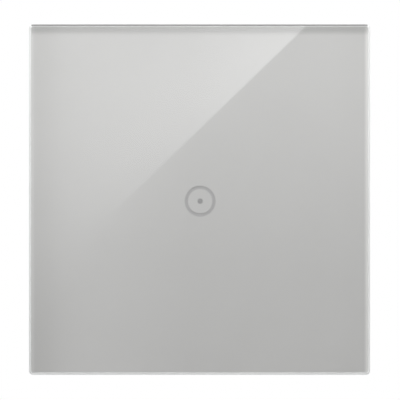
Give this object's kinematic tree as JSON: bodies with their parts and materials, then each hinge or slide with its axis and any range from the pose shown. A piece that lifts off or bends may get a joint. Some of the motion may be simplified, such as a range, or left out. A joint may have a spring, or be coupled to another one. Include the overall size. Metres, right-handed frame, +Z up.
{
  "type": "touch switch",
  "caption": "Flush touch switch with a flat silver-grey glass front, a small ring-and-dot touch mark, a steel support plate with claws and a rear housing with screw terminals.",
  "frame": {"origin": "midway between the two box screws, on the back face of the support plate, which lies on the wall", "axes": "+X right and +Z up as seen by the user, -Y out of the wall towards the user"},
  "size_m": [0.088, 0.037, 0.0904],
  "materials": {
    "clear_glass": "polished tempered glass",
    "silver_print": "fired silver-grey print, satin",
    "tape_foam": "acrylic foam",
    "clear_plastic": "milky light guide",
    "black_plastic": "moulded",
    "carbon_foam": "conductive foam",
    "carrier_plastic": "moulded, fine texture",
    "circuit_board": "solder resist",
    "led_plastic": "moulded",
    "tan_ceramic": "sintered",
    "zinc_screw": "zinc plated",
    "galvanised_plate": "galvanised sheet",
    "spring_steel": "hardened strip",
    "lid_plastic": "moulded, fine texture",
    "housing_plastic": "moulded, fine texture",
    "brass": "drawn",
    "relay_plastic": "moulded",
    "soft_iron": "nickel plated",
    "copper_wire": "enamelled copper wire",
    "capacitor_sleeve": "shrunk sleeve",
    "film_plastic": "moulded",
    "ferrite": "pressed ferrite",
    "varistor_coat": "dipped coat",
    "terminal_plastic": "moulded",
    "claw_steel": "hardened, zinc plated"
  },
  "bodies": {
    "panel": {"glass_panel": "clear_glass", "silver_print": "silver_print", "adhesive_tape": "tape_foam", "light_guide": "clear_plastic", "light_shroud": "black_plastic", "touch_electrode": "carbon_foam", "panel_carrier": "carrier_plastic", "touch_board": "circuit_board", "touch_chip": "black_plastic", "indicator_leds": "led_plastic", "touch_board_passives": "tan_ceramic", "board_socket": "black_plastic", "board_cover": "carrier_plastic", "cover_screws": "zinc_screw"},
    "mechanism": {"support_plate": "galvanised_plate", "retaining_clips": "spring_steel", "plate_screws": "zinc_screw", "housing_lid": "lid_plastic", "rear_housing": "housing_plastic", "power_board": "circuit_board", "board_pins": "brass", "relay_base": "black_plastic", "relay_case": "relay_plastic", "relay_yoke": "soft_iron", "relay_core": "soft_iron", "relay_bobbin": "black_plastic", "relay_winding": "copper_wire", "relay_fixed_contact": "brass", "electrolytic_capacitor": "capacitor_sleeve", "film_capacitor": "film_plastic", "choke_core": "ferrite", "choke_winding": "copper_wire", "fuse": "black_plastic", "varistor": "varistor_coat", "control_chip": "black_plastic", "terminal_block_left": "terminal_plastic", "terminal_block_right": "terminal_plastic", "contact_bars": "brass", "claw_pivot_pins": "zinc_screw"},
    "relay_armature_body": {"relay_armature": "soft_iron", "relay_contact_leaf": "brass"},
    "claw_top": {"claw_top": "claw_steel"},
    "claw_screw_top": {"claw_screw_top": "zinc_screw"},
    "claw_nut_top": {"claw_nut_top": "zinc_screw"},
    "claw_bottom": {"claw_bottom": "claw_steel"},
    "claw_screw_bottom": {"claw_screw_bottom": "zinc_screw"},
    "claw_nut_bottom": {"claw_nut_bottom": "zinc_screw"},
    "terminal_screw_1": {"terminal_screw_1": "zinc_screw"},
    "terminal_clamp_1": {"terminal_clamp_1": "zinc_screw"},
    "terminal_screw_2": {"terminal_screw_2": "zinc_screw"},
    "terminal_clamp_2": {"terminal_clamp_2": "zinc_screw"},
    "terminal_screw_3": {"terminal_screw_3": "zinc_screw"},
    "terminal_clamp_3": {"terminal_clamp_3": "zinc_screw"},
    "terminal_screw_4": {"terminal_screw_4": "zinc_screw"},
    "terminal_clamp_4": {"terminal_clamp_4": "zinc_screw"}
  },
  "joints": [
    {"name": "panel_release", "type": "slide", "parent": "mechanism", "child": "panel", "axis": [0, -1, 0], "range_m": [0, 0.02]},
    {"name": "relay_armature_swing", "type": "hinge", "parent": "mechanism", "child": "relay_armature_body", "pos_m": [0, 0.017, 0.0078], "axis": [-1, 0, 0], "range_deg": [0, 3.3], "stiffness_Nm_per_rad": 0.004, "springref_deg": -2.86},
    {"name": "claw_screw_top_turn", "type": "hinge", "parent": "mechanism", "child": "claw_screw_top", "pos_m": [0, 0, 0.0265], "axis": [0, 1, 0], "range_deg": [0, 1080.6]},
    {"name": "claw_top_swing", "type": "hinge", "parent": "mechanism", "child": "claw_top", "pos_m": [0, 0.0036, 0.0205], "axis": [1, 0, 0], "range_deg": [0, 14.97]},
    {"name": "claw_nut_top_slide", "type": "slide", "parent": "mechanism", "child": "claw_nut_top", "axis": [0, -1, 0], "range_m": [0, 0.0015]},
    {"name": "claw_screw_bottom_turn", "type": "hinge", "parent": "mechanism", "child": "claw_screw_bottom", "pos_m": [0, 0, -0.0265], "axis": [0, 1, 0], "range_deg": [0, 1080.6]},
    {"name": "claw_bottom_swing", "type": "hinge", "parent": "mechanism", "child": "claw_bottom", "pos_m": [0, 0.0036, -0.0205], "axis": [-1, 0, 0], "range_deg": [0, 14.97]},
    {"name": "claw_nut_bottom_slide", "type": "slide", "parent": "mechanism", "child": "claw_nut_bottom", "axis": [0, -1, 0], "range_m": [0, 0.0015]},
    {"name": "terminal_screw_1_turn", "type": "hinge", "parent": "mechanism", "child": "terminal_screw_1", "pos_m": [0, 0.016, 0.0045], "axis": [1, 0, 0], "range_deg": [0, 1441]},
    {"name": "terminal_clamp_1_rise", "type": "slide", "parent": "mechanism", "child": "terminal_clamp_1", "axis": [-1, 0, 0], "range_m": [0, 0.002]},
    {"name": "terminal_screw_2_turn", "type": "hinge", "parent": "mechanism", "child": "terminal_screw_2", "pos_m": [0, 0.016, -0.0045], "axis": [1, 0, 0], "range_deg": [0, 1441]},
    {"name": "terminal_clamp_2_rise", "type": "slide", "parent": "mechanism", "child": "terminal_clamp_2", "axis": [-1, 0, 0], "range_m": [0, 0.002]},
    {"name": "terminal_screw_3_turn", "type": "hinge", "parent": "mechanism", "child": "terminal_screw_3", "pos_m": [0, 0.016, 0.0045], "axis": [-1, 0, 0], "range_deg": [0, 1441]},
    {"name": "terminal_clamp_3_rise", "type": "slide", "parent": "mechanism", "child": "terminal_clamp_3", "axis": [1, 0, 0], "range_m": [0, 0.002]},
    {"name": "terminal_screw_4_turn", "type": "hinge", "parent": "mechanism", "child": "terminal_screw_4", "pos_m": [0, 0.016, -0.0045], "axis": [-1, 0, 0], "range_deg": [0, 1441]},
    {"name": "terminal_clamp_4_rise", "type": "slide", "parent": "mechanism", "child": "terminal_clamp_4", "axis": [1, 0, 0], "range_m": [0, 0.002]}
  ],
  "couplings": [
    {"joint": "claw_top_swing", "follows": "claw_nut_top_slide", "rad_per_m": 173.89},
    {"joint": "claw_screw_top_turn", "follows": "claw_nut_top_slide", "rad_per_m": 12566},
    {"joint": "claw_bottom_swing", "follows": "claw_nut_bottom_slide", "rad_per_m": 173.89},
    {"joint": "claw_screw_bottom_turn", "follows": "claw_nut_bottom_slide", "rad_per_m": 12566},
    {"joint": "terminal_screw_1_turn", "follows": "terminal_clamp_1_rise", "rad_per_m": 12566},
    {"joint": "terminal_screw_2_turn", "follows": "terminal_clamp_2_rise", "rad_per_m": 12566},
    {"joint": "terminal_screw_3_turn", "follows": "terminal_clamp_3_rise", "rad_per_m": 12566},
    {"joint": "terminal_screw_4_turn", "follows": "terminal_clamp_4_rise", "rad_per_m": 12566}
  ]
}
